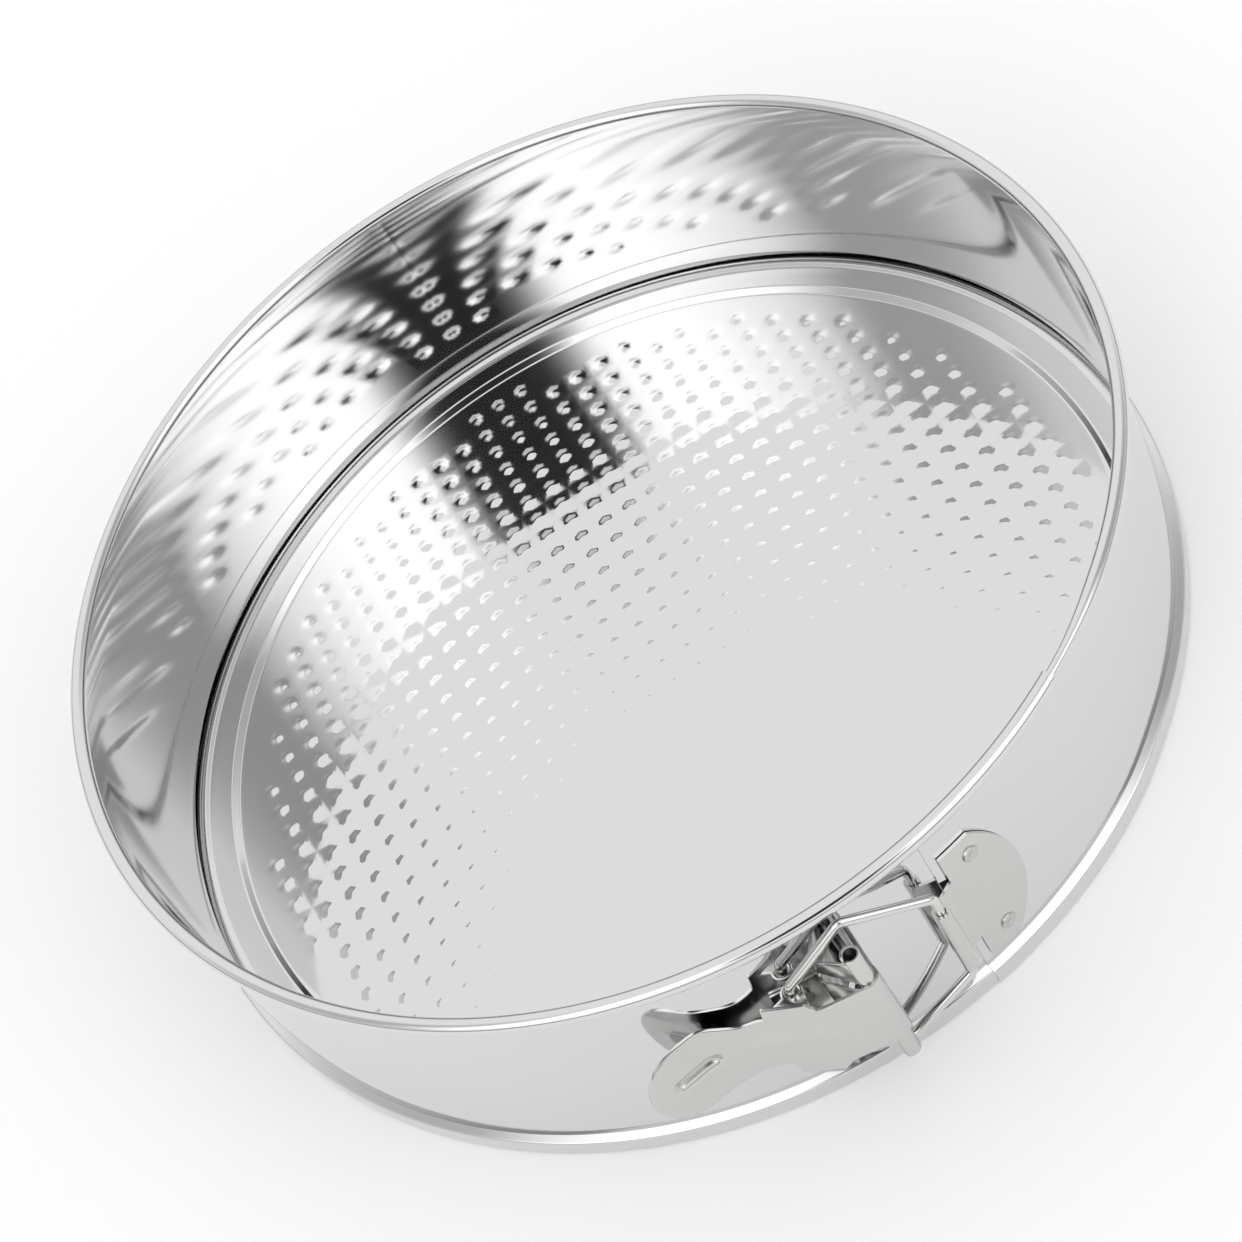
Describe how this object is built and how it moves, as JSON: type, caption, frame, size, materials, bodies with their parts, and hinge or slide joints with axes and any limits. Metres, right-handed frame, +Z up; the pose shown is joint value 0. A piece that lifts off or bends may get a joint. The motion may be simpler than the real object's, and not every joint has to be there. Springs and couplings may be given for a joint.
{
  "type": "springform cake tin",
  "caption": "Round springform cake tin: a tinplate band with a rolled rim clamps a loose dimpled base, closed by an over-centre lever and a wire bail.",
  "frame": {"origin": "centre of the face that the tin rests on", "axes": "+Z up through the open top; -Y points out through the latch; the lever's finger tip lies on the -X side of the latch and the catch plate on the +X side"},
  "size_m": [0.268, 0.2756, 0.065],
  "materials": {
    "tinplate": "bright tinplate, smooth rolled mirror finish",
    "tinplate_base": "bright tinplate pressed with a lattice of small round dimples",
    "plated_steel": "nickel-plated sheet steel, faintly drawn",
    "rivet_steel": "clinched soft steel, slightly dull",
    "steel_wire": "bright drawn and plated steel wire"
  },
  "bodies": {
    "base": {"base_plate": "tinplate_base"},
    "ring": {"ring_band": "tinplate", "lever_bracket": "plated_steel", "bracket_rivets": "rivet_steel"},
    "lever": {"latch_lever": "plated_steel"},
    "catch_end": {"catch_plate": "plated_steel", "catch_rivets": "rivet_steel"},
    "bail": {"wire_bail": "steel_wire"}
  },
  "joints": [
    {"name": "ring_lift", "type": "slide", "parent": "base", "child": "ring", "axis": [0, 0, 1], "range_m": [0, 0.08]},
    {"name": "lever_swing", "type": "hinge", "parent": "ring", "child": "lever", "pos_m": [0, -0.1385, 0.032], "axis": [0, 0, 1], "range_deg": [0, 120]},
    {"name": "band_spring", "type": "hinge", "parent": "ring", "child": "catch_end", "pos_m": [0, 0.13025, 0.032], "axis": [0, 0, 1], "range_deg": [0, 2.27], "deforming": ["ring_band"]},
    {"name": "bail_swing", "type": "hinge", "parent": "catch_end", "child": "bail", "pos_m": [0.02104, -0.13416, 0.032], "axis": [0, 0, 1], "range_deg": [0, 35.96]}
  ],
  "couplings": [
    {"joint": "band_spring", "follows": "lever_swing", "ratio": 0.018908},
    {"joint": "bail_swing", "follows": "lever_swing", "ratio": 0.29921}
  ]
}
